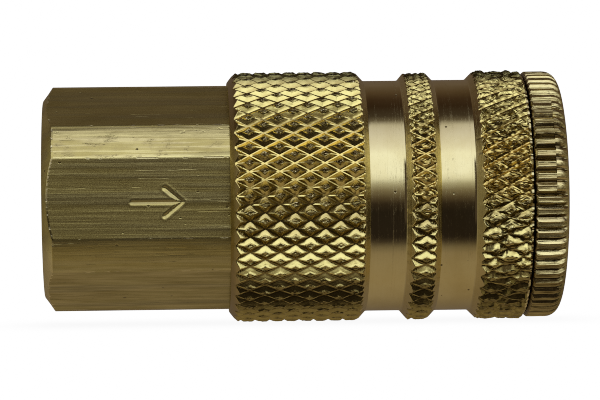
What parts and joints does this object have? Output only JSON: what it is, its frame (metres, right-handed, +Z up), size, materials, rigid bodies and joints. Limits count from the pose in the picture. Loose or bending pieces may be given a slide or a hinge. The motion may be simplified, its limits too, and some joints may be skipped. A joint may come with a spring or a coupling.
{
  "type": "quick disconnect air coupler",
  "caption": "Brass sleeve-lock air line coupler: hexagon threaded inlet, knurled sliding release sleeve, locking balls and a spring-loaded shut-off valve.",
  "frame": {"origin": "on the axis, at the inlet end face of the hexagon", "axes": "+X along the axis from the threaded inlet towards the plug mouth; +Z up; one hexagon flat faces -Y"},
  "size_m": [0.0468, 0.0228, 0.0228],
  "materials": {
    "brass_drawn": "drawn bar, satin with fine lengthwise lines",
    "brass_turned": "turned, bright",
    "brass_knurled": "knurled and turned, bright",
    "brass_inner": "turned, satin",
    "ball_steel": "polished hardened steel",
    "spring_steel": "drawn stainless wire",
    "washer_steel": "stamped steel, satin",
    "seal_rubber": "matt nitrile rubber"
  },
  "bodies": {
    "socket": {"inlet_adapter": "brass_drawn", "socket_body": "brass_turned", "body_o_ring": "seal_rubber", "plug_seal": "seal_rubber", "seal_washer": "brass_inner", "valve_seat_bushing": "brass_inner", "sleeve_spring": "spring_steel", "valve_spring": "spring_steel"},
    "thrust_washer": {"sleeve_thrust_washer": "washer_steel"},
    "sleeve": {"release_sleeve": "brass_knurled"},
    "valve": {"valve_poppet": "brass_inner", "valve_seal": "seal_rubber", "valve_seal_retainer": "brass_inner"},
    "ball_1": {"lock_ball_1": "ball_steel"},
    "ball_2": {"lock_ball_2": "ball_steel"},
    "ball_3": {"lock_ball_3": "ball_steel"},
    "ball_4": {"lock_ball_4": "ball_steel"},
    "ball_5": {"lock_ball_5": "ball_steel"},
    "ball_6": {"lock_ball_6": "ball_steel"}
  },
  "joints": [
    {"name": "sleeve_slide", "type": "slide", "parent": "socket", "child": "thrust_washer", "axis": [1, 0, 0], "range_m": [-0.0038, 0], "stiffness_N_per_m": 1800, "springref_m": 0.006, "deforming": ["sleeve_spring"]},
    {"name": "sleeve_spin", "type": "hinge", "parent": "thrust_washer", "child": "sleeve", "pos_m": [0.03, 0, 0], "axis": [1, 0, 0], "continuous": true},
    {"name": "valve_slide", "type": "slide", "parent": "socket", "child": "valve", "axis": [1, 0, 0], "range_m": [-0.003, 0], "stiffness_N_per_m": 700, "springref_m": 0.004, "deforming": ["valve_spring"]},
    {"name": "ball_1_travel", "type": "slide", "parent": "socket", "child": "ball_1", "axis": [0, 0.866, 0.5], "range_m": [0, 0.00085]},
    {"name": "ball_2_travel", "type": "slide", "parent": "socket", "child": "ball_2", "axis": [0, 0, 1], "range_m": [0, 0.00085]},
    {"name": "ball_3_travel", "type": "slide", "parent": "socket", "child": "ball_3", "axis": [0, -0.866, 0.5], "range_m": [0, 0.00085]},
    {"name": "ball_4_travel", "type": "slide", "parent": "socket", "child": "ball_4", "axis": [0, -0.866, -0.5], "range_m": [0, 0.00085]},
    {"name": "ball_5_travel", "type": "slide", "parent": "socket", "child": "ball_5", "axis": [0, 0, -1], "range_m": [0, 0.00085]},
    {"name": "ball_6_travel", "type": "slide", "parent": "socket", "child": "ball_6", "axis": [0, 0.866, -0.5], "range_m": [0, 0.00085]}
  ],
  "couplings": [
    {"joint": "ball_1_travel", "follows": "sleeve_slide", "ratio": -0.22368},
    {"joint": "ball_2_travel", "follows": "sleeve_slide", "ratio": -0.22368},
    {"joint": "ball_3_travel", "follows": "sleeve_slide", "ratio": -0.22368},
    {"joint": "ball_4_travel", "follows": "sleeve_slide", "ratio": -0.22368},
    {"joint": "ball_5_travel", "follows": "sleeve_slide", "ratio": -0.22368},
    {"joint": "ball_6_travel", "follows": "sleeve_slide", "ratio": -0.22368}
  ]
}
